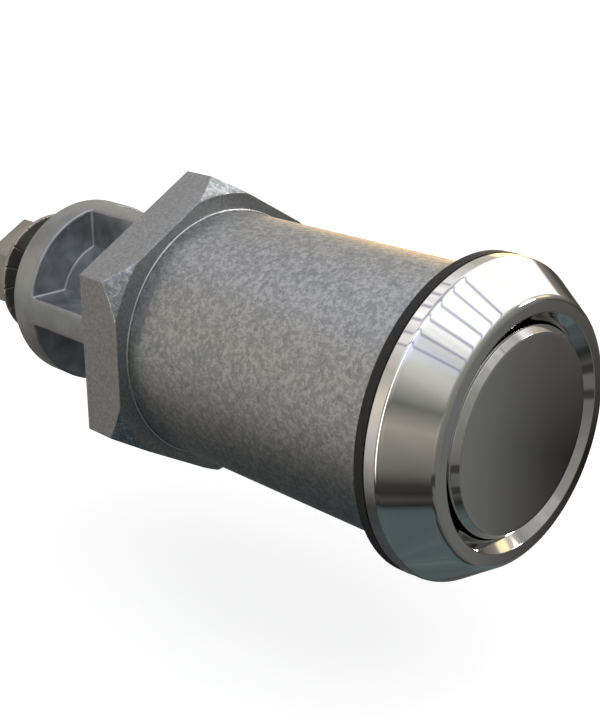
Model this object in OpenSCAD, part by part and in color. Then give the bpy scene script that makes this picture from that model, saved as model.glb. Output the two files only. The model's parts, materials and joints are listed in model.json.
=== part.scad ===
// Quarter-turn latch with a flush pop-out knob, for a round hole in a door or panel.
// The knob is pressed, springs out, is turned a quarter, and is pressed back flush.
// Millimetres. The latch axis is Y, the knob looks towards -Y, and +Z is up.
// The origin is on the axis, in the plane where the gasket meets the panel.
// Each piece is drawn with z along the axis, towards the user, and then laid along Y.

/* [Head] */
// Thickness of the panel gasket
gasket_t = 0.71; // [0.5:0.01:1.5]
// How far the gasket's edge stands proud of the bezel's rim
gasket_lip = 0.05; // [0:0.01:0.3]
// Height of the bezel above the gasket
head_h = 4.14; // [3.8:0.01:6]
// How far the bezel's rim stands out beyond the barrel
head_overhang = 1.36; // [1.2:0.01:3]
// Height of the upright rim behind the bezel's cone
rim_h = 1.05; // [0.6:0.01:1.2]
// Size of the small edges at both ends of the bezel's cone
cone_edge = 0.15; // [0.05:0.01:0.25]
// Width of the bezel's cone, seen from the front
cone_w = 1.82; // [1:0.01:1.9]
// Width of the polished countersink in the bezel's mouth
mouth_w = 0.76; // [0.3:0.01:0.9]
// Gap around the knob in the bezel's throat
knob_gap = 0.15; // [0.1:0.01:0.3]

/* [Barrel] */
// Outer diameter of the barrel, which fills the panel hole
barrel_d = 20; // [19.6:0.1:24]
// Length of the barrel behind the panel seat
barrel_len = 28.7; // [26:0.1:40]
// Width of the barrel's flange under the bezel
flange_w = 0.7; // [0.4:0.01:0.9]
// Thickness of the barrel's flange
flange_t = 1.29; // [1:0.01:1.8]
// Edge break at the barrel's back end
barrel_edge = 0.3; // [0.1:0.05:0.6]

/* [Mounting nut] */
// Width of the nut across its flats
nut_af = 22; // [21.6:0.1:27]
// Thickness of the nut
nut_t = 4.3; // [3:0.1:8]
// How far the nut's round face stands out beyond its flats
nut_face_w = 0.48; // [0.1:0.01:0.8]
// Slope of the bevel on the nut's corners, from the nut's face
nut_bevel = 49; // [20:1:60]

/* [Knob] */
// Diameter of the knob
knob_d = 14.7; // [13.6:0.1:15.2]
// Chamfer around the knob's face
knob_chamfer = 0.42; // [0.2:0.01:0.8]
// Depth of the knob's face below the bezel's face
knob_recess = 0.03; // [0:0.01:0.3]
// Thickness of the cap on the knob's front
cap_t = 1.52; // [1.2:0.01:2]
// Length of the knob's shell behind its cap
shell_len = 11.5; // [10.5:0.1:14]
// Wall of the knob's shell
shell_wall = 1.1; // [0.8:0.05:1.4]
// Width of the knob's square stem across its flats
stem_af = 5; // [4.2:0.1:5.2]
// How far the knob springs out
travel_out = 8; // [6:0.1:8.2]
// How far the flush knob can be pressed in to free it
travel_in = 1.2; // [0.8:0.1:1.6]

/* [Rotor] */
// Diameter of the rotor in the barrel
rotor_d = 16; // [15.4:0.1:16.4]
// Length of the rotor's collar, where it is wider
collar_len = 6.2; // [5.6:0.1:7]
// Width of the step that the collar rests on
collar_w = 0.85; // [0.5:0.01:0.95]
// Diameter of the hub between the rotor's ribs
hub_d = 9.46; // [8.8:0.01:11]
// Thickness of the rotor's four ribs
rib_t = 2.5; // [1.5:0.1:4]
// Length of the open pockets between the ribs
pocket_len = 9.4; // [7:0.1:14]
// Thickness of the flange behind the pockets
rear_flange_t = 2.85; // [2:0.05:5]
// Width of the square cam seat across its flats
seat_af = 7; // [6.4:0.1:8]
// Diameter over the square seat's rounded corners
seat_corner_d = 9.2; // [8.4:0.1:11.2]
// Length of the square cam seat
seat_len = 4.7; // [3:0.1:8]
// Diameter of the rotor's front bore, which holds the catch
cup_d = 11.2; // [11:0.1:11.8]
// Quarter turn of the rotor
turn = 90; // [60:1:120]

/* [Cam screw] */
// Thread diameter of the cam screw
screw_d = 5; // [4:0.1:5.4]
// Length of the cam screw's shank
screw_len = 10; // [8:0.1:11]
// Diameter of the flange under the cam screw's head
screw_flange_d = 11.8; // [10.5:0.1:13]
// Thickness of the flange at its rim
screw_rim_t = 0.4; // [0.3:0.05:1]
// Width of the cam screw's hexagon across its flats
screw_af = 8; // [7:0.1:9]
// Height of the cam screw's head with its flange
screw_head_h = 5.2; // [4.4:0.1:7]
// Number of fine grooves under the flange, which grip the cam
grip_grooves = 18; // [12:1:24]

/* [Catch, detent and stop] */
// Wire thickness of the spring that lifts the knob
spring_wire = 0.7; // [0.5:0.05:0.9]
// Outer diameter of that spring
spring_od = 6.3; // [5.6:0.1:6.5]
// Number of turns of that spring
spring_turns = 6; // [4:1:7]
// Thickness of the crown on the stem's end
crown_t = 2.4; // [2:0.1:3]
// Thickness of the ring that the crown turns on
ring_t = 2.4; // [2:0.1:3]
// Height of the ribs in the catch sleeve
sleeve_rib_h = 0.55; // [0.4:0.01:0.6]
// Diameter of the detent ball
ball_d = 1.4; // [1.2:0.05:1.6]
// How far the detent ball stands out of the rotor
ball_out = 0.4; // [0.3:0.01:0.5]
// Diameter of the stop pin in the barrel's wall
stop_d = 1.6; // [1.2:0.1:2]
// Thickness of the rubber rings
seal_t = 1.1; // [0.9:0.05:1.2]
// Thickness of the retaining ring
clip_t = 0.8; // [0.6:0.05:1.2]
// Thickness of the plain washers
washer_t = 0.5; // [0.3:0.05:0.8]

/* [Fits] */
// Gap around what turns or slides
run_gap = 0.05; // [0.02:0.01:0.09]
// Gap between faces that pass each other
face_gap = 0.05; // [0.02:0.01:0.1]

/* [Hidden] */
$fn = 96;
// Small overlap that keeps cuts clean
cut = 1;

// Places along the axis from the panel seat, towards the user, in the flush position
face_z = gasket_t + head_h;
nose_z = gasket_t + flange_t;
knob_face_z = face_z - knob_recess;
shell_front_z = knob_face_z - cap_t;
shell_back_z = shell_front_z - shell_len;

// The knob's seal lies between the bezel and the guide bush
bush_front_z = nose_z - seal_t - face_gap;
// The bush's back wall stops the pressed knob, and carries the detent
end_gap = 0.2;
lip_front_z = shell_back_z - travel_in - end_gap;
lip_t = 1.15;
bush_back_z = lip_front_z - lip_t;

// The rotor, its cover and the catch
rotor_front_z = bush_back_z - face_gap;
cover_t = 1.5;
cover_back_z = rotor_front_z - cover_t;
crown_gap = 0.1;
tooth_h = 0.5;
crown_front_z = cover_back_z - crown_gap - travel_out;
crown_back_z = crown_front_z - crown_t;
ring_front_z = crown_back_z - tooth_h - face_gap;
ring_back_z = ring_front_z - ring_t;
// The ribs of the sleeve end where the popped ring has just left them
rib_back_z = ring_front_z + face_gap;
rib_front_z = ring_back_z + travel_out - crown_gap;
push_washer_z = ring_back_z - face_gap;
cup_floor_z = push_washer_z - washer_t - travel_in - end_gap;
step_z = rotor_front_z - collar_len - face_gap;

// The barrel's back end, with the nut flush to it and the ring that holds the rotor
barrel_back_z = -barrel_len;
nut_front_z = barrel_back_z + nut_t;
slip_front_z = barrel_back_z - face_gap;
clip_front_z = slip_front_z - washer_t - face_gap / 2;
clip_back_z = clip_front_z - clip_t;
// The pockets start behind the retaining ring, and never cut into the rotor's cup
clip_land = 0.8;
cup_floor_t = 1.2;
pocket_front_z = min(clip_back_z - clip_land, cup_floor_z - cup_floor_t);
pocket_back_z = pocket_front_z - pocket_len;
rotor_back_z = pocket_back_z - rear_flange_t;
seat_back_z = rotor_back_z - seat_len;
// The screw's hole ends short of the spring's floor
thread_end_z = seat_back_z + screw_len + 0.85;
spring_floor_z = thread_end_z + 1.3;
spring_seat_z = spring_floor_z + washer_t;

// Radii, from the axis out
barrel_r = barrel_d / 2;
flange_r = barrel_r + flange_w;
head_r = barrel_r + head_overhang;
cone_foot_r = head_r - cone_edge;
cone_top_r = cone_foot_r - cone_w;
face_r = cone_top_r - cone_edge;
knob_r = knob_d / 2;
throat_r = knob_r + knob_gap;
mouth_r = throat_r + mouth_w;
rotor_r = rotor_d / 2;
rear_bore_r = rotor_r + run_gap;
front_bore_r = rear_bore_r + collar_w;
collar_r = front_bore_r - run_gap;
bush_r = front_bore_r - run_gap;
cup_r = cup_d / 2;
sleeve_r = cup_r - run_gap;
sleeve_wall = 1.05;
sleeve_in_r = sleeve_r - sleeve_wall;
rib_in_r = sleeve_in_r - sleeve_rib_h;
crown_r = rib_in_r - 0.1;
lug_r = sleeve_in_r - 0.08;
hub_r = hub_d / 2;
spring_r = (spring_od - spring_wire) / 2;
spring_bore_r = spring_od / 2 + 0.35;
clip_groove_r = rotor_r - 0.45;

// The stem's socket and screw in the knob's shell
web_front_z = shell_front_z - 1.1;
head_seat_z = web_front_z - 2;
socket_z = head_seat_z - 0.8;
socket_depth = 2.4;
boss_back_z = socket_z - socket_depth;
web_back_z = socket_z - 1.4;
knob_screw_r = 1.5;
knob_screw_len = 8;
knob_screw_head_r = 2.75;
knob_screw_head_h = 1.8;
spigot_r = 1.6;
spigot_len = 3.2;

// The stop pin goes through the barrel's wall, under the nut, at the bottom
stop_z = barrel_back_z + 2.25;
stop_angle = -90;
stop_slot_depth = 1;
// The rotor's seal lies halfway between the collar and the stop
seal_z = (step_z + stop_z) / 2;
seal_groove_r = rotor_r - seal_t;

// The detent ball sits in the middle of the collar's wall
ball_r = ball_d / 2;
ball_ring_r = (cup_r + collar_r) / 2;
ball_angle = 45;
ball_z = rotor_front_z - ball_r + ball_out;
ball_hole_depth = 4.8;
dimple_depth = 0.15;

lugs = 4;
sleeve_rib_w = 2;
crown_lug_w = 3.4;
ring_lug_w = 2.8;
teeth = 8;
cover_lug_w = 2.4;
cover_r = cup_r + 0.45;
cover_lug_r = cover_r + 0.9;

// Lays a piece that is drawn along z on the latch axis
module on_axis() {
    rotate([90, 0, 0])
        children();
}

// Turned piece from a half section
module turned(points) {
    rotate_extrude()
        polygon(points);
}

// Ring between two radii and two places on the axis
module ring(inner_r, outer_r, back_z, front_z) {
    turned([[inner_r, back_z], [outer_r, back_z], [outer_r, front_z], [inner_r, front_z]]);
}

// Plain rod on the axis
module rod(r, back_z, front_z) {
    translate([0, 0, back_z])
        cylinder(r = r, h = front_z - back_z);
}

// Flat shape pulled along the axis
module slab(back_z, front_z) {
    translate([0, 0, back_z])
        linear_extrude(front_z - back_z)
            children();
}

// Rubber ring with a round section
module rubber_ring(middle_r, middle_z, t) {
    rotate_extrude()
        translate([middle_r, middle_z])
            circle(d = t, $fn = 32);
}

// Hexagon with a corner up, with a bevel that starts at face_r on the face at face_z
module bevelled_hex(af, back_z, front_z, bevel_r, slope) {
    corner_r = af / 2 / cos(30);
    wide_r = corner_r + cut;
    drop = (wide_r - bevel_r) * tan(slope);
    intersection() {
        slab(back_z, front_z)
            rotate(90)
                circle(r = corner_r, $fn = 6);
        turned([[0, back_z - cut], [wide_r, back_z - cut], [wide_r, front_z - drop],
            [bevel_r, front_z], [0, front_z]]);
    }
}

// Lugs around the axis, spaced evenly from the first angle
module lugs_2d(r, w, first) {
    intersection() {
        circle(r = r);
        for (i = [0:lugs - 1])
            rotate(first + i * 360 / lugs)
                translate([0, -w / 2])
                    square([r + cut, w]);
    }
}

// Radial ridges with a pointed section, on a ring of teeth
module tooth_ridges(h, reach) {
    for (i = [0:teeth - 1])
        rotate([90, 0, (i + 0.5) * 360 / teeth])
            rotate([0, 90, 0])
                linear_extrude(reach)
                    polygon([[0, -h], [h, 0], [0, h]]);
}

// Points and frame of a helix, from the share t of its length
function coil_point(r, turns, z0, z1, t) =
    [r * cos(360 * turns * t), r * sin(360 * turns * t), z0 + (z1 - z0) * t];
function coil_across(turns, t) = [cos(360 * turns * t), sin(360 * turns * t), 0];
function coil_along(r, turns, z0, z1, t) =
    let (v = [-sin(360 * turns * t), cos(360 * turns * t), (z1 - z0) / (2 * PI * r * turns)])
    v / norm(v);

coil_rings = 8;
coil_sides = 6;

// One unbroken round wire wound on the axis, from z0 to z1
module coil(r, wire, turns, z0, z1) {
    last = coil_rings * turns;
    low = z0 + wire / 2;
    high = z1 - wire / 2;
    points = [for (i = [0:last]) let (
            t = i / last,
            p = coil_point(r, turns, low, high, t),
            n = coil_across(turns, t),
            b = cross(coil_along(r, turns, low, high, t), n))
        for (k = [0:coil_sides - 1])
            p + wire / 2 * (cos(360 * k / coil_sides) * n + sin(360 * k / coil_sides) * b)];
    walls = [for (i = [0:last - 1], k = [0:coil_sides - 1]) let (
            a = i * coil_sides + k,
            b = i * coil_sides + (k + 1) % coil_sides)
        each [[a, a + coil_sides, b], [b, a + coil_sides, b + coil_sides]]];
    starts = [for (k = [1:coil_sides - 2]) [0, k, k + 1]];
    end = last * coil_sides;
    ends = [for (k = [1:coil_sides - 2]) [end, end + k + 1, end + k]];
    polyhedron(points, concat(walls, starts, ends));
}

// Least gap of a coil to itself, measured between points half a turn or more apart
function coil_gap(r, wire, turns, z0, z1) =
    let (last = coil_rings * turns, pts = [for (i = [0:last])
        coil_point(r, turns, z0 + wire / 2, z1 - wire / 2, i / last)])
    min([for (i = [0:last], j = [i + coil_rings / 2:1:last]) norm(pts[i] - pts[j])]) - wire;

// Chromed trim ring with a cone outside and a polished countersink inside
module bezel() {
    recess_r = flange_r + run_gap;
    rim_z = gasket_t + rim_h;
    color("#c9c9c7") on_axis()
        turned([[recess_r, gasket_t], [head_r - cone_edge, gasket_t],
            [head_r, gasket_t + cone_edge], [head_r, rim_z - cone_edge],
            [cone_foot_r, rim_z], [cone_top_r, face_z - 2 * cone_edge],
            [face_r, face_z], [mouth_r, face_z], [throat_r, face_z - mouth_w],
            [throat_r, nose_z], [recess_r, nose_z]]);
}

// Rubber gasket between the head and the panel
module panel_gasket() {
    color("#1f1f1e") on_axis()
        ring(barrel_r + run_gap, head_r + gasket_lip, 0, gasket_t);
}

// Zinc barrel that goes through the panel, with the flange that the bezel covers
module barrel() {
    color("#8a8a88") on_axis()
        difference() {
            turned([[rear_bore_r, barrel_back_z], [barrel_r - barrel_edge, barrel_back_z],
                [barrel_r, barrel_back_z + barrel_edge], [barrel_r, gasket_t],
                [flange_r, gasket_t], [flange_r, nose_z], [front_bore_r, nose_z],
                [front_bore_r, step_z], [rear_bore_r, step_z]]);
            translate([0, 0, stop_z])
                rotate([0, 90, stop_angle])
                    cylinder(d = stop_d + run_gap, h = barrel_r + cut);
        }
}

// Hexagon nut that clamps the panel, with bevelled corners towards it
module mounting_nut() {
    nut_r = barrel_r + run_gap;
    bore_edge = 0.15;
    color("#858583") on_axis()
        difference() {
            bevelled_hex(nut_af, barrel_back_z, nut_front_z, nut_af / 2 + nut_face_w, nut_bevel);
            turned([[0, barrel_back_z - cut], [nut_r, barrel_back_z - cut],
                [nut_r, nut_front_z - bore_edge], [nut_r + bore_edge, nut_front_z],
                [nut_r + bore_edge, nut_front_z + cut], [0, nut_front_z + cut]]);
        }
}

// Acetal bush that guides the knob, with the detent's track on its back wall
module guide_bush() {
    guide_r = knob_r + run_gap;
    lip_r = cup_r + 0.3;
    track_r = ball_r + face_gap;
    color("#2c2c2b") on_axis()
        difference() {
            turned([[lip_r, bush_back_z], [bush_r, bush_back_z], [bush_r, bush_front_z],
                [guide_r, bush_front_z], [guide_r, lip_front_z], [lip_r, lip_front_z]]);
            rotate(ball_angle - turn)
                rotate_extrude(angle = turn)
                    translate([ball_ring_r, ball_z])
                        circle(r = track_r, $fn = 32);
            for (a = [ball_angle - turn, ball_angle])
                rotate(a)
                    translate([ball_ring_r, 0, ball_z + dimple_depth])
                        sphere(r = track_r, $fn = 32);
        }
}

// Rubber ring that wipes the knob as it slides
module knob_seal() {
    color("#1b1b1b") on_axis()
        rubber_ring(knob_r + run_gap + seal_t / 2, nose_z - seal_t / 2 - face_gap / 2, seal_t);
}

// Steel pin that ends the rotor's quarter turn at both ends of its slot
module stop_pin() {
    tip_r = rotor_r - stop_slot_depth + 0.1;
    color("#9a9a98") on_axis()
        translate([0, 0, stop_z])
            rotate([0, 90, stop_angle])
                translate([0, 0, tip_r])
                    cylinder(d = stop_d, h = barrel_r - 0.05 - tip_r);
}

// Slot in the rotor that the stop pin runs in
module stop_slot() {
    slot_r = (stop_d / 2) + run_gap;
    floor_r = rotor_r - stop_slot_depth;
    rotate(stop_angle)
        rotate_extrude(angle = turn)
            translate([floor_r, stop_z - slot_r])
                square([stop_slot_depth + cut, 2 * slot_r]);
    for (a = [stop_angle, stop_angle + turn])
        translate([0, 0, stop_z])
            rotate([0, 90, a])
                translate([0, 0, floor_r])
                    cylinder(r = slot_r, h = stop_slot_depth + cut);
}

// Open pockets between the rotor's four ribs
module rotor_pockets() {
    slab(pocket_back_z, pocket_front_z)
        difference() {
            circle(r = rotor_r + cut);
            circle(r = hub_r);
            square([rib_t, 4 * rotor_r], center = true);
            square([4 * rotor_r, rib_t], center = true);
        }
}

// Outline of the cover that closes the rotor's cup, grown by a gap
module cover_2d(gap) {
    circle(r = cover_r + gap);
    square([2 * (cover_lug_r + gap), cover_lug_w + 2 * gap], center = true);
}

// Zinc rotor: collar and cup in the barrel, ribbed cage behind it and the square cam seat
module rotor() {
    back_edge = 0.15;
    seal_half = seal_t / 2 + 0.1;
    color("#85837c") on_axis()
        difference() {
            union() {
                turned([[0, rotor_back_z], [rotor_r - back_edge, rotor_back_z],
                    [rotor_r, rotor_back_z + back_edge], [rotor_r, clip_back_z - face_gap / 2],
                    [clip_groove_r, clip_back_z - face_gap / 2],
                    [clip_groove_r, clip_front_z + face_gap / 2],
                    [rotor_r, clip_front_z + face_gap / 2],
                    [rotor_r, seal_z - seal_half], [seal_groove_r, seal_z - seal_half],
                    [seal_groove_r, seal_z + seal_half], [rotor_r, seal_z + seal_half],
                    [rotor_r, step_z + face_gap], [collar_r, step_z + face_gap],
                    [collar_r, rotor_front_z], [0, rotor_front_z]]);
                slab(seat_back_z, rotor_back_z)
                    intersection() {
                        square(seat_af, center = true);
                        circle(d = seat_corner_d);
                    }
            }
            rod(cup_r, cup_floor_z, rotor_front_z + cut);
            rod(spring_bore_r, spring_floor_z, cup_floor_z + cut);
            rod(screw_d / 2, seat_back_z - cut, thread_end_z);
            slab(cover_back_z, rotor_front_z + cut)
                cover_2d(run_gap);
            rotate(ball_angle)
                translate([ball_ring_r, 0, rotor_front_z - ball_hole_depth])
                    cylinder(r = ball_r + run_gap, h = ball_hole_depth + cut);
            rotor_pockets();
            stop_slot();
        }
}

// Rubber ring that seals the rotor in the barrel
module rotor_seal() {
    color("#1b1b1b") on_axis()
        rubber_ring(rotor_r - seal_t / 2, seal_z, seal_t - 0.02);
}

// Slippery washer between the barrel's end and the retaining ring
module slip_washer() {
    color("#3a3a39") on_axis()
        ring(rotor_r + run_gap, barrel_r - 0.4, slip_front_z - washer_t, slip_front_z);
}

// Spring steel ring with two eyes, sprung into the rotor's groove
module retaining_ring() {
    inner_r = clip_groove_r + 0.03;
    outer_r = inner_r + 1.45;
    eye_r = 1.1;
    eye_turn = 9;
    open_w = 1.6;
    eyes_angle = -45;
    color("#6f6f70") on_axis()
        slab(clip_back_z, clip_front_z)
            rotate(eyes_angle)
                difference() {
                    union() {
                        translate([-0.2, 0])
                            circle(r = outer_r);
                        for (a = [-eye_turn, eye_turn])
                            rotate(a)
                                translate([inner_r + eye_r + 0.05, 0])
                                    circle(r = eye_r);
                    }
                    circle(r = inner_r);
                    translate([0, -open_w / 2])
                        square([2 * outer_r, open_w]);
                    for (a = [-eye_turn, eye_turn])
                        rotate(a)
                            translate([inner_r + eye_r + 0.2, 0])
                                circle(d = 0.9);
                }
}

// Steel cover with the square hole that turns the rotor with the stem
module guide_cover() {
    color("#7d7d7c") on_axis()
        slab(cover_back_z, rotor_front_z)
            difference() {
                cover_2d(0);
                square(stem_af + 2 * run_gap, center = true);
            }
}

// Acetal sleeve with four guide ribs, fixed in the rotor's cup
module catch_sleeve() {
    front_z = cover_back_z - face_gap;
    color("#d9d6cb") on_axis() {
        ring(sleeve_in_r, sleeve_r, cup_floor_z + face_gap, front_z);
        slab(rib_back_z, rib_front_z)
            difference() {
                lugs_2d(sleeve_in_r + sleeve_wall / 2, sleeve_rib_w, 0);
                circle(r = rib_in_r);
            }
    }
}

// Steel washer under the spring, on the floor of the rotor's bore
module spring_seat() {
    color("#9a9a98") on_axis()
        rod(spring_bore_r - 0.1, spring_floor_z, spring_seat_z);
}

// Spring that lifts the knob, drawn as it is when the knob is flush
module pop_spring() {
    echo(least_gap_of_pop_spring = coil_gap(spring_r, spring_wire, spring_turns,
        spring_seat_z + face_gap, push_washer_z - washer_t - face_gap));
    color("#8f8f8e") on_axis()
        coil(spring_r, spring_wire, spring_turns, spring_seat_z + face_gap,
            push_washer_z - washer_t - face_gap);
}

// Small spring behind the detent ball
module detent_spring() {
    wire = 0.2;
    turns = 4;
    middle_r = ball_r - wire / 2 - 0.1;
    back_z = rotor_front_z - ball_hole_depth + face_gap;
    front_z = ball_z - ball_r - face_gap;
    echo(least_gap_of_detent_spring = coil_gap(middle_r, wire, turns, back_z, front_z));
    color("#8f8f8e") on_axis()
        rotate(ball_angle)
            translate([ball_ring_r, 0, 0])
                coil(middle_r, wire, turns, back_z, front_z);
}

// Steel ball that clicks into a dimple at both ends of the turn
module detent_ball() {
    color("#a5a5a4") on_axis()
        rotate(ball_angle)
            translate([ball_ring_r, 0, ball_z])
                sphere(r = ball_r, $fn = 48);
}

// Hexagon flange screw that clamps the cam on its square seat
module cam_screw() {
    head_back_z = seat_back_z - screw_head_h;
    rim_r = screw_flange_d / 2;
    rim_edge = 0.1;
    rim_back_z = seat_back_z - screw_rim_t;
    neck_r = screw_af / 2;
    groove = 0.14;
    groove_from_r = seat_corner_d / 2 - 0.4;
    color("#8b877f") on_axis()
        difference() {
            union() {
                turned([[0, rim_back_z - (rim_r - neck_r) * tan(25)],
                    [neck_r, rim_back_z - (rim_r - neck_r) * tan(25)],
                    [rim_r, rim_back_z], [rim_r, seat_back_z - rim_edge],
                    [rim_r - rim_edge, seat_back_z], [0, seat_back_z]]);
                rod(screw_d / 2 - run_gap / 2, seat_back_z - cut / 2, seat_back_z + screw_len);
                mirror([0, 0, 1])
                    bevelled_hex(screw_af, -seat_back_z + screw_rim_t / 2, -head_back_z,
                        0.565 * screw_af, 30);
            }
            for (i = [0:grip_grooves - 1])
                rotate(i * 360 / grip_grooves)
                    translate([groove_from_r, 0, seat_back_z])
                        rotate([0, 90, 0])
                            linear_extrude(rim_r)
                                polygon([[-groove, -2 * groove], [groove, 0],
                                    [-groove, 2 * groove]]);
        }
}

// Chromed cap that is the flush face of the knob
module knob_cap() {
    spigot_out_r = knob_r - shell_wall - run_gap;
    spigot_back_z = shell_front_z - 0.95;
    color("#5a5a5a") on_axis()
        turned([[0, shell_front_z], [spigot_out_r - 0.8, shell_front_z],
            [spigot_out_r - 0.8, spigot_back_z], [spigot_out_r, spigot_back_z],
            [spigot_out_r, shell_front_z], [knob_r, shell_front_z],
            [knob_r, knob_face_z - knob_chamfer], [knob_r - knob_chamfer, knob_face_z],
            [0, knob_face_z]]);
}

// Shell that the fingers grip when the knob is out, with the stem's square socket
module knob_shell() {
    in_r = knob_r - shell_wall;
    boss_r = stem_af * sqrt(0.5) + 0.9;
    edge = 0.3;
    color("#b4b4b2") on_axis()
        difference() {
            turned([[0, boss_back_z], [boss_r, boss_back_z], [boss_r, web_back_z],
                [in_r, web_back_z], [in_r, shell_back_z], [knob_r - edge, shell_back_z],
                [knob_r, shell_back_z + edge], [knob_r, shell_front_z],
                [in_r, shell_front_z], [in_r, web_front_z], [0, web_front_z]]);
            rod(knob_screw_head_r + 0.15, head_seat_z, web_front_z + cut);
            rod(knob_screw_r + 0.1, socket_z - cut, head_seat_z + cut);
            slab(boss_back_z - cut, socket_z)
                square(stem_af + 0.04, center = true);
        }
}

// Socket screw under the cap, which holds the shell on the stem
module knob_screw() {
    key_af = 2.5;
    color("#6f6f70") on_axis()
        difference() {
            union() {
                rod(knob_screw_head_r, head_seat_z, head_seat_z + knob_screw_head_h);
                rod(knob_screw_r - 0.02, head_seat_z - knob_screw_len, head_seat_z + cut / 2);
            }
            slab(head_seat_z + 0.6, head_seat_z + knob_screw_head_h + cut)
                circle(r = key_af / 2 / cos(30), $fn = 6);
        }
}

// Square stem that carries the knob, with the toothed crown of the catch
module knob_stem() {
    color("#7d7d7c") on_axis()
        difference() {
            union() {
                slab(crown_front_z - cut / 2, socket_z - 0.02)
                    square(stem_af, center = true);
                slab(crown_back_z, crown_front_z) {
                    circle(r = crown_r);
                    lugs_2d(lug_r, crown_lug_w, 45);
                }
            }
            rod(knob_screw_r, head_seat_z - knob_screw_len - 0.5, socket_z + cut);
            rod(spigot_r + run_gap, crown_back_z - cut, crown_back_z + spigot_len + 0.2);
            translate([0, 0, crown_back_z])
                tooth_ridges(tooth_h, lug_r + cut);
        }
}

// Ring of the catch, turned a step by the crown each time the knob is pressed
module index_ring() {
    color("#d9d6cb") on_axis() {
        slab(ring_back_z, ring_front_z) {
            circle(r = crown_r);
            lugs_2d(lug_r, ring_lug_w, 45);
        }
        rod(spigot_r, ring_front_z - cut / 2, crown_back_z + spigot_len);
        intersection() {
            translate([0, 0, ring_front_z])
                tooth_ridges(tooth_h - 0.05, crown_r);
            ring(spigot_r / 2, crown_r, ring_front_z - cut / 2, ring_front_z + tooth_h);
        }
    }
}

// Steel washer between the index ring and the spring
module push_washer() {
    color("#9a9a98") on_axis()
        rod(crown_r, push_washer_z - washer_t, push_washer_z);
}

bezel();
panel_gasket();
barrel();
mounting_nut();
guide_bush();
knob_seal();
stop_pin();
rotor();
rotor_seal();
slip_washer();
retaining_ring();
guide_cover();
catch_sleeve();
spring_seat();
pop_spring();
detent_spring();
detent_ball();
cam_screw();
knob_cap();
knob_shell();
knob_screw();
knob_stem();
index_ring();
push_washer();
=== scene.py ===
"""Looks for a flush quarter-turn latch: zinc barrel and nut, chromed head and knob, cast rotor."""
import json
from math import cos, hypot, radians, sin, tau

import bmesh
import bpy
from bpy.props import FloatProperty, FloatVectorProperty, PointerProperty
from mathutils import Matrix, Vector

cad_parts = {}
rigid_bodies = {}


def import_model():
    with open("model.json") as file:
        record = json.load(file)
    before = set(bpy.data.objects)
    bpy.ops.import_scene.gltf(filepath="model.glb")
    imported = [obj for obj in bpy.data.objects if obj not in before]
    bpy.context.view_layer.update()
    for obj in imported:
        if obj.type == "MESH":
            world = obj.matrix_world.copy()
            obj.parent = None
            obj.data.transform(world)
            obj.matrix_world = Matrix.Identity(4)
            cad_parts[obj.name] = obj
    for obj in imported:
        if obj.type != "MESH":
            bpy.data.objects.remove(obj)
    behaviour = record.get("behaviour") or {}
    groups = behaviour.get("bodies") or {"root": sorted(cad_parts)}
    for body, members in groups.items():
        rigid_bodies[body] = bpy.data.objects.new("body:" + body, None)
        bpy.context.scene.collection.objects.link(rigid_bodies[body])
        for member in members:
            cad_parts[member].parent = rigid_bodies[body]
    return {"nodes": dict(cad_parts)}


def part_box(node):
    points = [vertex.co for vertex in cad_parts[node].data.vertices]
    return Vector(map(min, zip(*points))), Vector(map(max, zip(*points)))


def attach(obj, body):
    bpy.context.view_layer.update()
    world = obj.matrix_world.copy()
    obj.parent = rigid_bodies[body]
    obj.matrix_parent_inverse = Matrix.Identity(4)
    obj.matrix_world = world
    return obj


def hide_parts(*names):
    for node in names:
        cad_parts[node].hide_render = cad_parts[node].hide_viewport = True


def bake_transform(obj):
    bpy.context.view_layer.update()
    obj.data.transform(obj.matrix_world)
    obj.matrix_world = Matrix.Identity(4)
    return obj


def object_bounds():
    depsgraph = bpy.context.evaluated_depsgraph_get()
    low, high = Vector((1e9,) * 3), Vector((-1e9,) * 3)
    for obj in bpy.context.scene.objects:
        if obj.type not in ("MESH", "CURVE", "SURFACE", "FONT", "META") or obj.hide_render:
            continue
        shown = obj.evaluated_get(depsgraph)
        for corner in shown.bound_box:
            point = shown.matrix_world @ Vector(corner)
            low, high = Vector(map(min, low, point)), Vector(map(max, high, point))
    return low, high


bl_info = {
    "name": "Quarter-turn latch",
    "version": (1, 0, 0),
    "blender": (4, 5, 0),
    "location": "3D View > Sidebar > Latch",
    "description": "Dresses the latch's pieces and sets up its stage",
    "category": "Object",
}

# the model is loaded into an empty scene
for leftover in list(bpy.data.objects):
    bpy.data.objects.remove(leftover, do_unlink=True)
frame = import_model()
NODES = frame["nodes"]
CAD_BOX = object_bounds()

MM = 0.001
MERGE = 0.002 * MM          # points closer than this become one
SPIN_STEPS = 192            # facets round a turned piece, fine enough for its polished rim
ROLL_SEGMENTS = 6           # facets across a rolled edge of a turned piece
EDGE_SEGMENTS = 3           # facets across a rounded edge of a cast or cut piece
LIP_SEGMENTS = 12           # facets round the nut's lip
LOOP_FROM = 0.3 * MM        # flats of a turned outline longer than this get a loop near each end
LOOP_SHARE = 0.03           # how far along the flat those loops lie
CAP_RINGS = 1.3 * MM, 0.8 * MM      # steps inwards of the two rings on the knob cap's flat back
FLAT_ANGLE = radians(0.6)   # faces of a CAD node that turn by less than this become one flat
SLANT = 0.2, 0.95           # a face of the nut whose normal leans this much to the axis is bevelled
WHITE = 1.0, 1.0, 1.0, 1.0

# sizes of the patterns, in millimetres
HAZE_MM = 3.846             # broad passes of the buffing wheel under the chrome
BARREL_GRAIN_MM = 0.37      # zinc crystals on the barrel
NUT_GRAIN_MM = 0.20         # finer zinc crystals on the nut's flats
CORNER_GRAIN_MM = 0.42      # torn metal on the nut's bevelled corners
CLOUD_MM = 2.381            # clouds of tone where molten metal or plating has flowed
BLOTCH_MM = 1.429           # blotches of a casting's untouched skin
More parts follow.
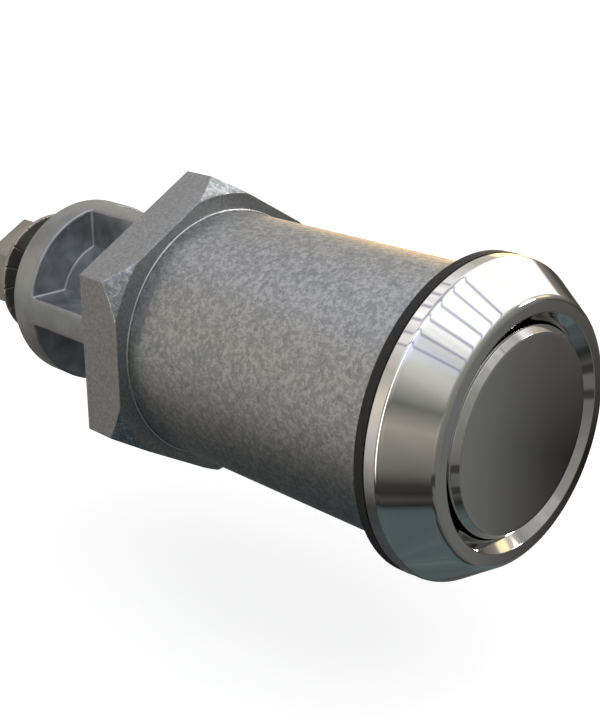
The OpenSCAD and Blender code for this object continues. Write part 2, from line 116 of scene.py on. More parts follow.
# too fine to show at their real size, so drawn several times as coarse, a few pixels wide:
SKIN_MM = 0.1923            # pits of cast and turned metal, really about 0.04
RUBBER_GRAIN_MM = 0.3       # matt grain of moulded rubber, really about 0.05
ACETAL_GRAIN_MM = 0.5       # faint grain of moulded acetal, really about 0.05


# ---------------------------------------------------------------- sizes and colours

def srgb(text):
    """Linear colour from a hex value, as the shader wants it."""
    parts = [int(text[i:i + 2], 16) / 255 for i in (1, 3, 5)]
    return [c / 12.92 if c <= 0.04045 else ((c + 0.055) / 1.055) ** 2.4 for c in parts] + [1.0]


def length(name, text, value):
    """A size in millimetres, shown with its unit."""
    return FloatProperty(name=name, description=text, default=value * MM, unit="LENGTH")


def point(name, text, values):
    """A place in millimetres, shown with its unit."""
    return FloatVectorProperty(name=name, description=text, default=[v * MM for v in values],
                               subtype="TRANSLATION", unit="LENGTH")


def colour(name, text, value):
    """A colour in hex, shown as a swatch."""
    return FloatVectorProperty(name=name, description=text, default=srgb(value), size=4,
                               min=0.0, max=1.0, subtype="COLOR")


class LatchSizes(bpy.types.PropertyGroup):
    """Sizes of the turned chrome pieces, of softened edges, of places with their own finish and of
    the painted shade under the screw's flange
    """
    gasket_t: length("Gasket", "Height where the bezel starts, above the panel", 0.71)
    rim_r: length("Rim radius", "Radius of the bezel's upright rim", 11.36)
    rim_top: length("Rim top", "Height where the rim meets the cone", 1.80)
    cone_top_r: length("Cone top radius", "Radius where the cone meets the face ring", 9.26)
    face: length("Face", "Height of the bezel's face", 4.85)
    mouth_r: length("Mouth radius", "Outer radius of the countersink", 8.26)
    mouth_depth: length("Mouth depth", "Depth of the countersink", 0.76)
    throat_r: length("Throat radius", "Radius of the bore around the knob", 7.5)
    nose: length("Nose", "Height where the bezel's recess ends", 2.0)
    recess_r: length("Recess radius", "Radius of the recess for the barrel's flange", 10.75)
    heel_roll: length("Heel roll", "Roll of the rim's edge at the gasket", 0.12)
    foot_roll: length("Foot roll", "Roll of the edge between rim and cone", 0.20)
    face_roll: length("Face roll", "Roll of the edge between cone and face ring", 0.28)
    mouth_roll: length("Mouth roll", "Roll of the edge between face ring and countersink", 0.03)
    throat_roll: length("Throat roll", "Roll of the edge between countersink and bore", 0.08)
    knob_r: length("Knob radius", "Radius of the knob cap", 7.35)
    knob_face: length("Knob face", "Height of the knob's face", 4.82)
    knob_chamfer: length("Knob chamfer", "Chamfer around the knob's face", 0.42)
    knob_side_roll: length("Knob side roll", "Roll of the edge between side and chamfer", 0.05)
    knob_face_roll: length("Knob face roll", "Roll of the edge between chamfer and face", 0.03)
    cap_back: length("Cap back", "Height of the knob cap's back", 3.30)
    nut_edge: length("Nut edge", "Rounding of the nut's edges", 0.09)
    nut_corner_r: length("Nut corners", "Radius past which the nut's bevels are left rough", 11.2)
    nut_bore_r: length("Nut bore", "Radius of the nut's bore", 10.0)
    nut_lip: length("Nut lip", "Radius of the lip rolled up round the nut's bore", 0.10)
    rotor_edge: length("Rotor edge", "Rounding of the rotor's edges and corners", 0.24)
    pocket_r: length("Pocket radius", "Radius inside which the rotor keeps its cast skin", 7.75)
    pocket_front: length("Pocket front", "Where the pockets start, behind the panel", 30.6)
    pocket_back: length("Pocket back", "Where the pockets end, behind the panel", 40.5)
    screw_edge: length("Screw edge", "Rounding of the cam screw's edges", 0.05)
    # where the screw's underside is darkened with painted shade, in the gap between its flange and
    # the rotor
    under_shade_r: length("Underside radius", "Radius inside which the screw's underside is dull", 5.7)
    under_shade_front: length("Underside front", "Where the dull underside starts", 47.0)
    under_shade_back: length("Underside back", "Where the dull underside ends", 48.05)


class LatchColours(bpy.types.PropertyGroup):
    """Colours of the finishes and of the painted shade under the screw's flange, each of which
    wanders between its dark and its pale tone
    """
    chrome_dark: colour("Chrome, dark", "Chrome plate where it is hazy", "#f0f0ef")
    chrome_pale: colour("Chrome, pale", "Chrome plate where it is clean", "#f4f4f3")
    barrel_dark: colour("Barrel, dark", "Darkest crystals on the barrel", "#95999c")
    barrel_middle: colour("Barrel, middle", "Most of the crystals on the barrel", "#b0b3b6")
    barrel_pale: colour("Barrel, pale", "Palest crystals on the barrel", "#c6c9cb")
    nut_dark: colour("Nut, dark", "Darkest crystals on the nut", "#9d9fa1")
    nut_middle: colour("Nut, middle", "Most of the crystals on the nut", "#a7a9ab")
    nut_pale: colour("Nut, pale", "Palest crystals on the nut", "#b7b9bb")
    corner_dark: colour("Nut corner, dark", "Hollows of the nut's rough corners", "#8f9499")
    corner_middle: colour("Nut corner, middle", "Most of the rough corners", "#a5a9ae")
    corner_pale: colour("Nut corner, pale", "Peaks of the nut's rough corners", "#c6c9ce")
    lip_dark: colour("Nut lip, dark", "Duller places of the nut's lip", "#e2e3e6")
    lip_pale: colour("Nut lip, pale", "Brighter places of the nut's lip", "#eeeff1")
    edge_dark: colour("Rubbed edge, dark", "Duller places of rubbed edges", "#a0a2a8")
    edge_pale: colour("Rubbed edge, pale", "Brighter places of rubbed edges", "#b5b7bc")
    rotor_dark: colour("Rotor, dark", "Darker clouds on the rotor", "#9fa3a5")
    rotor_pale: colour("Rotor, pale", "Paler clouds on the rotor", "#b5b9bb")
    pocket_dark: colour("Pocket, dark", "Darker blotches in the rotor's pockets", "#a2a7ac")
    pocket_pale: colour("Pocket, pale", "Paler blotches in the rotor's pockets", "#c6cad0")
    screw_dark: colour("Screw, dark", "Darker clouds on the cam screw", "#a59f98")
    screw_pale: colour("Screw, pale", "Paler clouds on the cam screw", "#bdb7af")
    # painted shade under the screw's flange, in the gap before the rotor
    under_shade_dark: colour("Underside, dark", "Darker blotches under the screw's flange", "#8a8a86")
    under_shade_pale: colour("Underside, pale", "Paler blotches under the screw's flange", "#979793")
    rubber_dark: colour("Rubber, dark", "Hollows of the rubber's grain", "#161615")
    rubber_pale: colour("Rubber, pale", "Tops of the rubber's grain", "#20201f")
    steel_dark: colour("Steel, dark", "Darker clouds on the turned steel", "#b2b2b0")
    steel_pale: colour("Steel, pale", "Paler clouds on the turned steel", "#c6c6c4")
    wire_dark: colour("Spring wire, dark", "Darker places of the spring wire", "#8e8e8c")
    wire_pale: colour("Spring wire, pale", "Paler places of the spring wire", "#a3a3a1")
    natural_dark: colour("Natural acetal, dark", "Darker places of natural acetal", "#d6d2c6")
    natural_pale: colour("Natural acetal, pale", "Paler places of natural acetal", "#e0ddd2")
    black_dark: colour("Black acetal, dark", "Darker places of black acetal", "#1c1c1c")
    black_pale: colour("Black acetal, pale", "Paler places of black acetal", "#262626")


class LatchStage(bpy.types.PropertyGroup):
    """Floor, lamps, world and camera"""
    floor_drop: length("Floor drop", "Gap between the part and the floor", 8.0)
    floor_half: length("Floor size", "Half the width of the floor", 3000.0)
    floor_paint: colour("Floor paint", "Colour of the floor under the lamps", "#f4f4f4")
    floor_level: FloatProperty(name="Floor level", default=0.50, min=0.0,
                               description="Light that is added where the floor is seen")
    walls_r: length("Walls", "Radius of the shell of walls that reflections see", 500.0)
    key_place: point("Key lamp's place", "Where the key lamp hangs", (250.0, -120.0, 450.0))
    key_size: length("Key lamp's size", "Width of the key lamp", 350.0)
    key_power: FloatProperty(name="Key lamp", description="Power of the key lamp", default=0.1,
                             min=0.0, unit="POWER")
    key_tint: colour("Key lamp's colour", "Colour of the key lamp's light", "#eceeff")
    fill_place: point("Fill lamp's place", "Where the fill lamp hangs", (-450.0, -300.0, 200.0))
    fill_size: length("Fill lamp's size", "Width of the fill lamp", 400.0)
    fill_power: FloatProperty(name="Fill lamp", description="Power of the fill lamp", default=0.3,
                              min=0.0, unit="POWER")
    fill_tint: colour("Fill lamp's colour", "Colour of the fill lamp's light", "#f2f5ff")
    lamp_aim: point("Lamps' aim", "Place on the barrel that both lamps point to", (0.0, 20.0, 0.0))
    world_level: FloatProperty(name="World level", description="Light that the world gives",
                               default=0.7, min=0.0)
    camera_place: point("Camera's place", "Where the camera stands", (-63.27, -46.82, 32.50))
    camera_turn: FloatVectorProperty(name="Camera's turn", description="How the camera is turned",
                                     default=(radians(69.89), 0.0, radians(-45.21)),
                                     subtype="EULER")
    lens: FloatProperty(name="Lens", description="Focal length for a 36 mm sensor", default=61.83,
                        unit="CAMERA")


def tones(part):
    """A finish's colours from dark to pale, as the panel holds them."""
    held = bpy.context.scene.latch_colours
    return [tuple(getattr(held, name)) for name in LatchColours.__annotations__
            if name.startswith(part + "_")]


# ---------------------------------------------------------------- nodes and finishes

def add_node(tree, kind, settings=None, links=None):
    """Adds a node, sets its properties, inputs and ramp stops, and links other outputs to it."""
    made = tree.nodes.new(kind)
    for key, value in (settings or {}).items():
        if key == "stops":
            # a new ramp has two stops, and the first of them stays
            elements = made.color_ramp.elements
            elements.remove(elements[1])
            elements[0].position, elements[0].color = value[0]
            for place, tone in value[1:]:
                elements.new(place).color = tone
        elif isinstance(key, str) and hasattr(made, key):
            setattr(made, key, value)
        else:
            made.inputs[key].default_value = value
    for key, source in (links or {}).items():
        tree.links.new(source, made.inputs[key])
    return made


def empty_tree(owner):
    """Turns on the nodes of a material or world and takes out the ones it comes with."""
    owner.use_nodes = True
    owner.node_tree.nodes.clear()
    return owner.node_tree


def new_material(name, metallic=0.0):
    """Material with a principled shader and object coordinates, still without a pattern."""
    made = bpy.data.materials.new(name)
    tree = empty_tree(made)
    shader = add_node(tree, "ShaderNodeBsdfPrincipled", {"Metallic": metallic})
    add_node(tree, "ShaderNodeOutputMaterial", links={"Surface": shader.outputs["BSDF"]})
    place = add_node(tree, "ShaderNodeTexCoord").outputs["Object"]
    return made, tree, shader, place


def feed(tree, shader, sources):
    """Links the pattern's last nodes to the shader."""
    for socket, source in sources.items():
        tree.links.new(source.outputs[0], shader.inputs[socket])


def per_metre(size_mm):
    """Scale of a pattern whose features have this real size."""
    return 1000.0 / size_mm


def chrome_plate():
    """Bright chrome over a buffed casting: a sharp mirror, with a trace of haze in broad passes."""
    made, tree, shader, place = new_material("chrome_plate_polished", metallic=1.0)
    haze = add_node(tree, "ShaderNodeTexNoise", {"Scale": per_metre(HAZE_MM), "Detail": 2.0},
                    {"Vector": place}).outputs["Fac"]
    tint = add_node(tree, "ShaderNodeValToRGB",
                    {"stops": list(zip((0.3, 0.7), tones("chrome")))}, {"Fac": haze})
    rough = add_node(tree, "ShaderNodeMapRange",
                     {"From Min": 0.3, "From Max": 0.7, "To Min": 0.035, "To Max": 0.06},
                     {"Value": haze})
    feed(tree, shader, {"Base Color": tint, "Roughness": rough})
    return made


def zinc_spangle(name, part, grain_mm, rough_low, rough_high, dents):
    """Hot-dip zinc: it freezes in crystals that each catch the light a little differently, so the
    eye sees mottled greys, the paler ones a little shinier."""
    made, tree, shader, place = new_material(name, metallic=1.0)
    per_m = per_metre(grain_mm)
    warp = add_node(tree, "ShaderNodeTexNoise",
                    {"Scale": per_m * 0.9, "Detail": 3.0, "Roughness": 0.6}, {"Vector": place})
    # outlines wander by up to half a crystal
    moved = add_node(tree, "ShaderNodeMix",
                     {"data_type": "RGBA", "blend_type": "LINEAR_LIGHT", 0: 0.5 * grain_mm * MM},
                     {6: place, 7: warp.outputs["Color"]}).outputs[2]
    flakes = add_node(tree, "ShaderNodeTexVoronoi",
                      {"feature": "SMOOTH_F1", "Smoothness": 0.35, "Scale": per_m},
                      {"Vector": moved})
    # between them lie crystals of less than half the size, and clouds run over both
    small = add_node(tree, "ShaderNodeTexVoronoi", {"Scale": per_m * 2.6}, {"Vector": moved})
    cloud = add_node(tree, "ShaderNodeTexNoise",
                     {"Scale": per_m * 0.85, "Detail": 4.0, "Roughness": 0.7}, {"Vector": place})
    both = add_node(tree, "ShaderNodeMix", {"data_type": "RGBA", 0: 0.5},
                    {6: flakes.outputs["Color"], 7: small.outputs["Color"]})
    grey = add_node(tree, "ShaderNodeRGBToBW", links={"Color": both.outputs[2]})
    mottle = add_node(tree, "ShaderNodeMath", {"operation": "MULTIPLY_ADD", 1: 0.75},
                      {0: grey.outputs["Val"], 2: cloud.outputs["Fac"]}).outputs["Value"]
    tint = add_node(tree, "ShaderNodeValToRGB",
                    {"stops": list(zip((0.5, 0.88, 1.0), tones(part)))}, {"Fac": mottle})
    rough = add_node(tree, "ShaderNodeMapRange",
                     {"From Min": 0.5, "From Max": 1.26, "To Min": rough_high, "To Max": rough_low},
                     {"Value": mottle})
    bump = add_node(tree, "ShaderNodeBump", {"Strength": dents, "Distance": 0.03 * MM},
                    {"Height": grey.outputs["Val"]})
    feed(tree, shader, {"Base Color": tint, "Roughness": rough, "Normal": bump})
    return made


def cast_metal(name, part, rough_low, rough_high):
    """Cast, plated or turned metal: soft clouds of tone and shine over a finely pitted skin."""
    made, tree, shader, place = new_material(name, metallic=1.0)
    cloud = add_node(tree, "ShaderNodeTexNoise",
                     {"Scale": per_metre(CLOUD_MM), "Detail": 4.0, "Roughness": 0.6},
                     {"Vector": place}).outputs["Fac"]
    skin = add_node(tree, "ShaderNodeTexNoise", {"Scale": per_metre(SKIN_MM), "Detail": 2.0},
                    {"Vector": place})
    tint = add_node(tree, "ShaderNodeValToRGB",
                    {"stops": list(zip((0.35, 0.65), tones(part)))}, {"Fac": cloud})
    rough = add_node(tree, "ShaderNodeMapRange",
                     {"From Min": 0.35, "From Max": 0.65,
                      "To Min": rough_low, "To Max": rough_high}, {"Value": cloud})
    bump = add_node(tree, "ShaderNodeBump", {"Strength": 0.25, "Distance": 0.01 * MM},
                    {"Height": skin.outputs["Fac"]})
    feed(tree, shader, {"Base Color": tint, "Roughness": rough, "Normal": bump})
    return made


def keep_skin_and_shade(made, part, inner_r, front, back):
    """Gives a metal a blotchy tone of its own inside a radius and between two places behind the
    panel:
    the rotor's untouched cast skin in its pockets, and painted shade under the screw's flange."""
    tree = made.node_tree
    shader = next(n for n in tree.nodes if n.type == "BSDF_PRINCIPLED")
    worked = shader.inputs["Base Color"].links[0].from_socket
    place = next(n for n in tree.nodes if n.type == "TEX_COORD").outputs["Object"]
    along = add_node(tree, "ShaderNodeSeparateXYZ", links={0: place}).outputs
    flat = add_node(tree, "ShaderNodeCombineXYZ", links={"X": along["X"], "Y": along["Z"]})
    reach = add_node(tree, "ShaderNodeVectorMath", {"operation": "LENGTH"}, {0: flat.outputs[0]})
    inside = add_node(tree, "ShaderNodeMath", {"operation": "LESS_THAN", 1: inner_r},
                      {0: reach.outputs["Value"]}).outputs[0]
    for side, limit in (("GREATER_THAN", front), ("LESS_THAN", back)):
        held = add_node(tree, "ShaderNodeMath", {"operation": side, 1: limit}, {0: along["Y"]})
        inside = add_node(tree, "ShaderNodeMath", {"operation": "MULTIPLY"},
                          {0: inside, 1: held.outputs[0]}).outputs[0]
    blotch = add_node(tree, "ShaderNodeTexNoise", {"Scale": per_metre(BLOTCH_MM), "Detail": 3.0},
                      {"Vector": place})
    tint = add_node(tree, "ShaderNodeValToRGB", {"stops": list(zip((0.35, 0.65), tones(part)))},
                    {"Fac": blotch.outputs["Fac"]})
    mixed = add_node(tree, "ShaderNodeMix", {"data_type": "RGBA"},
                     {0: inside, 6: worked, 7: tint.outputs["Color"]})
    tree.links.new(mixed.outputs[2], shader.inputs["Base Color"])
    return made


def moulded(name, part, rough, grain_mm, dents):
    """Moulded rubber or acetal: one even colour, made soft to the eye by a faint grain."""
    made, tree, shader, place = new_material(name)
    shader.inputs["Roughness"].default_value = rough
    grain = add_node(tree, "ShaderNodeTexNoise", {"Scale": per_metre(grain_mm), "Detail": 2.0},
                     {"Vector": place}).outputs["Fac"]
    tint = add_node(tree, "ShaderNodeValToRGB",
                    {"stops": list(zip((0.35, 0.65), tones(part)))}, {"Fac": grain})
    bump = add_node(tree, "ShaderNodeBump", {"Strength": dents, "Distance": 0.02 * MM},
                    {"Height": grain})
    feed(tree, shader, {"Base Color": tint, "Normal": bump})
    return made


def rubbed_edge():
    """Zinc edges rubbed in use: paler and a little duller than the faces beside them."""
    name = "zinc_edge_rubbed"
    return bpy.data.materials.get(name) or cast_metal(name, "edge", 0.36, 0.44)


# ---------------------------------------------------------------- pieces

def new_object(name, bm):
    """Object with the bmesh's faces, its place in its mesh."""
    mesh = bpy.data.meshes.new(name)
    bm.to_mesh(mesh)
    bm.free()
    made = bpy.data.objects.new(name, mesh)
    bpy.context.scene.collection.objects.link(made)
    return made


def finish_piece(name, bm, node, body, materials, edges=None):
    """Makes a bmesh a smooth piece that rides on a body and stands for a CAD node, where these are
    named. The edges are the settings of its rounding."""
    bmesh.ops.recalc_face_normals(bm, faces=bm.faces)
    for face in bm.faces:
        face.smooth = True
    piece = new_object(name, bm)
    for material in materials:
        piece.data.materials.append(material)
    if edges:
        rounding = piece.modifiers.new("edges", "BEVEL")
        for key, value in edges.items():
            setattr(rounding, key, value)
    shading = piece.modifiers.new("shading", "WEIGHTED_NORMAL")
    shading.keep_sharp = True
    shading.weight = 100
    if body:
        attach(piece, body)
    if node:
        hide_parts(node)
    return piece


def spin_round(bm):
    """Takes an outline once round the latch's axis and closes the seam."""
    bmesh.ops.spin(bm, geom=bm.verts[:] + bm.edges[:], cent=(0, 0, 0), axis=(0, 1, 0),
                   angle=tau, steps=SPIN_STEPS, use_merge=True)
    bmesh.ops.remove_doubles(bm, verts=bm.verts, dist=MERGE)


def turned_piece(name, outline, node, body, material, closed=True):
    """Spins an outline of (radius, height towards the user, roll of the corner)."""
    bm = bmesh.new()
    corners = [bm.verts.new((radius, -height, 0)) for radius, height, roll in outline]
    for pair in zip(corners, corners[1:] + corners[:1] if closed else corners[1:]):
        bm.edges.new(pair)
    for corner, (radius, height, roll) in zip(corners, outline):
        if roll:
            bmesh.ops.bevel(bm, geom=[corner], offset=roll, offset_type="OFFSET",
                            segments=ROLL_SEGMENTS, profile=0.5, affect="VERTICES", material=-1)
    # loops close to each end keep the long faces flat in the mirror
    for edge in [e for e in bm.edges if e.calc_length() > LOOP_FROM]:
        start, end = edge.verts
        near = bmesh.utils.edge_split(edge, start, LOOP_SHARE)[1]
        bmesh.utils.edge_split(bm.edges.get((near, end)), end, LOOP_SHARE)
    spin_round(bm)
    return finish_piece(name, bm, node, body, [material])


def softened_piece(name, node, body, materials, width, from_angle=24.0, clamped=True,
                   edge_material=-1, rough_past=None):
    """Copy of a CAD node with merged flats and rounded edges. Past a radius its bevelled faces take
    the second material, and inside it the third."""
    bm = bmesh.new()
    bm.from_mesh(NODES[node].data)
    bmesh.ops.remove_doubles(bm, verts=bm.verts, dist=MERGE)
    bmesh.ops.dissolve_limit(bm, angle_limit=FLAT_ANGLE, verts=bm.verts, edges=bm.edges)
    if rough_past:
        for face in bm.faces:
            if SLANT[0] < abs(face.normal.y) < SLANT[1]:
                reach = hypot(*face.calc_center_median().xz)
                face.material_index = 1 if reach > rough_past else 2
    edges = {"width": width, "segments": EDGE_SEGMENTS, "limit_method": "ANGLE",
             "angle_limit": radians(from_angle), "material": edge_material,
             "use_clamp_overlap": clamped, "miter_outer": "MITER_ARC"}
    return finish_piece(name, bm, node, body, materials, edges if width else None)


def dress(names, material):
    """Gives CAD nodes their finish."""
    for name in names:
        for held in NODES[name].material_slots:
            held.material = material


class LATCH_OT_head(bpy.types.Operator):
    """Chromed bezel, knob cap and shell, with the rubber gasket"""
    bl_idname = "latch.head"
    bl_label = "Head and knob"

    def execute(self, context):
        size = context.scene.latch_sizes
        chrome = chrome_plate()
        bezel = (
            (size.recess_r, size.gasket_t, 0),
            (size.rim_r, size.gasket_t, size.heel_roll),
            (size.rim_r, size.rim_top, size.foot_roll),
            (size.cone_top_r, size.face, size.face_roll),
            (size.mouth_r, size.face, size.mouth_roll),
            (size.throat_r, size.face - size.mouth_depth, size.throat_roll),
            (size.throat_r, size.nose, 0),
            (size.recess_r, size.nose, 0),
        )
        turned_piece("bezel_chrome", bezel, "bezel", "housing", chrome)
        outer_ring = size.knob_r - CAP_RINGS[0]
        cap = (
            (0, size.cap_back, 0),
            (outer_ring - CAP_RINGS[1], size.cap_back, 0),
            (outer_ring, size.cap_back, 0),
            (size.knob_r, size.cap_back, 0),
            (size.knob_r, size.knob_face - size.knob_chamfer, size.knob_side_roll),
            (size.knob_r - size.knob_chamfer, size.knob_face, size.knob_face_roll),
            (0, size.knob_face, 0),
        )
        turned_piece("knob_cap_chrome", cap, "knob_cap", "knob", chrome,
                     closed=False)
        dress(["knob_shell"], chrome)
        # moulded nitrile rubber is matt, and all but black
        dress(["panel_gasket", "knob_seal", "rotor_seal"],
              moulded("nitrile_rubber_black", "rubber", 0.6, RUBBER_GRAIN_MM, 0.2))
        return {"FINISHED"}


class LATCH_OT_barrel(bpy.types.Operator):
    """Galvanised barrel and nut"""
    bl_idname = "latch.barrel"
    bl_label = "Barrel and nut"

    def execute(self, context):
        size = context.scene.latch_sizes
        # smooth hot-dip zinc: softly mottled, with a broad sheen along the top
        dress(["barrel"], zinc_spangle("zinc_spangle_barrel", "barrel", BARREL_GRAIN_MM,
                                       0.39, 0.46, 0.3))
        # small crystals and more dents make the nut's flats look dry and sandy
        flats = zinc_spangle("zinc_fine_nut", "nut", NUT_GRAIN_MM, 0.42, 0.52, 0.55)
        # its bevelled corners are left as they tore, and glitter in light and dark patches
        corners = zinc_spangle("zinc_rough_bevel", "corner", CORNER_GRAIN_MM, 0.24, 0.34, 1.0)
        softened_piece("nut_zinc", "mounting_nut", "housing",
                       [flats, corners, rubbed_edge()], size.nut_edge,
                       rough_past=size.nut_corner_r)
        # the lip rolled up round its bore is burnished: a fine bright line against the barrel
        burnished = cast_metal("zinc_lip_burnished", "lip", 0.22, 0.30)
        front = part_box("mounting_nut")[0].y
        bm = bmesh.new()
        bmesh.ops.create_circle(
            bm, segments=LIP_SEGMENTS, radius=size.nut_lip,
            matrix=Matrix.Translation((size.nut_bore_r + size.nut_lip, front, 0)))
        spin_round(bm)
        finish_piece("nut_lip", bm, None, "housing", [burnished])
        return {"FINISHED"}


class LATCH_OT_rotor(bpy.types.Operator):
    """Cast rotor and the cam screw"""
    bl_idname = "latch.rotor"
    bl_label = "Rotor and screw"

    def execute(self, context):
        size = context.scene.latch_sizes
        # zinc die casting, turned outside: smooth grey with cast blotches in the pockets
        casting = keep_skin_and_shade(cast_metal("zinc_casting_rotor", "rotor", 0.28, 0.40), "pocket",
                            size.pocket_r, size.pocket_front, size.pocket_back)
        softened_piece("rotor_casting", "rotor", "rotor", [casting, rubbed_edge()],
                       size.rotor_edge, from_angle=55.0, clamped=False, edge_material=1)
        # zinc-plated steel: a warm grey shine on the head, and a darker tone under its flange that
        # is painted shade in the gap before the rotor
        plated = keep_skin_and_shade(cast_metal("zinc_plated_screw", "screw", 0.26, 0.36), "under",
                           size.under_shade_r, size.under_shade_front, size.under_shade_back)
        softened_piece("cam_screw_plated", "cam_screw", "rotor", [plated],
                       size.screw_edge, from_angle=50.0, clamped=False)
        return {"FINISHED"}


class LATCH_OT_works(bpy.types.Operator):
    """Inner pieces: steel, spring wire and acetal"""
    bl_idname = "latch.works"
    bl_label = "Inner pieces"

    def execute(self, context):
        # turned steel: pale and even, with a satin shine
        dress(["stop_pin", "guide_cover", "spring_seat", "detent_ball", "knob_screw", "knob_stem",
               "push_washer"], cast_metal("steel_turned", "steel", 0.24, 0.34))
        # drawn and tempered wire: darker and duller
        wire = cast_metal("steel_spring", "wire", 0.28, 0.40)
        dress(["retaining_ring", "detent_spring"], wire)
        # the spring stands on the rotor; its copy rides on no body and keeps its place
        spring = softened_piece("pop_spring_wire", "pop_spring", None, [wire], 0)
        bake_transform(spring)
        # moulded acetal has a low, waxy shine
        dress(["catch_sleeve", "index_ring"],
              moulded("acetal_natural", "natural", 0.40, ACETAL_GRAIN_MM, 0.1))
        dress(["guide_bush", "slip_washer"],
              moulded("acetal_black", "black", 0.42, ACETAL_GRAIN_MM, 0.1))
        return {"FINISHED"}


# ---------------------------------------------------------------- stage

# tones of the studio's four walls from the floor up: degrees above the horizon, colour
WALLS = {
    "ahead": (
        (-68, "#4c5658"), (-56, "#262624"), (-42, "#5a5a58"), (-26, "#616160"), (-16, "#666664"),
        (5, "#757570"), (30, "#858581"), (46, "#aeadab"), (62, "#ffffff")),
    "right": (
        (-60, "#4f595a"), (-44, "#566060"), (-37, "#454342"), (-24, "#191715"), (-15, "#504e4b"),
        (-2, "#3f3f3c"), (9, "#77706a"), (30, "#c4bab0"), (44, "#ffffff")),
    "left": (
        (-56, "#4c5658"), (-49, "#485254"), (-45, "#282725"), (-41, "#43403e"), (-37, "#2b2a28"),
        (-31, "#363432"), (-22, "#65635e"), (-10, "#7d7a74"), (4, "#989389"), (17, "#63645f"),
        (32, "#abaaa3"), (40, "#bfbfba"), (47, "#dcdeee"), (60, "#d8d8f6"), (68, "#ffffff")),
    "behind": (
        (-60, "#3c4244"), (-44, "#3a3a39"), (-26, "#86817c"), (-2, "#b1aea8"), (14, "#bfb8aa"),
        (30, "#aea8a0"), (46, "#dcd8d6"), (54, "#f4f0f2"), (66, "#a6a7ab")),
}
# round lamps: turn to the right and height in degrees, then outer and inner angle of their edge
ROUND_LAMPS = {
    "glint": (69.0, 21.0, 8.0, 3.0),        # small and warm, low on the right
    "amber": (126.0, 1.0, 15.0, 4.0),       # wide, behind it
    "box": (53.0, 23.0, 7.0, 4.0),          # a soft box ahead
}
# what is hung on the walls, each over the ones before it
HUNG = (("window", "#fffdf6"), ("glint", "#fff2c0"), ("amber", "#ffd08a"), ("box", "#fffaf2"),
        ("strip", "#fffaf4"), ("blinds", "#262524"), ("bars", "#85859a"))
WALL_LEVEL = 1.15
# light that is added to the walls' own
ADDED = (("white", 0.22), ("amber", 1.8), ("box", 11.0), ("strip", 0.5))
# the ceiling's bars: half their spacing, measured sideways per unit of height
BAR_HALF = 0.105
# the blinds: half the spacing of their slats, and how far they are shifted up
SLAT_HALF, SLAT_SHIFT = radians(9.0), radians(8.5)


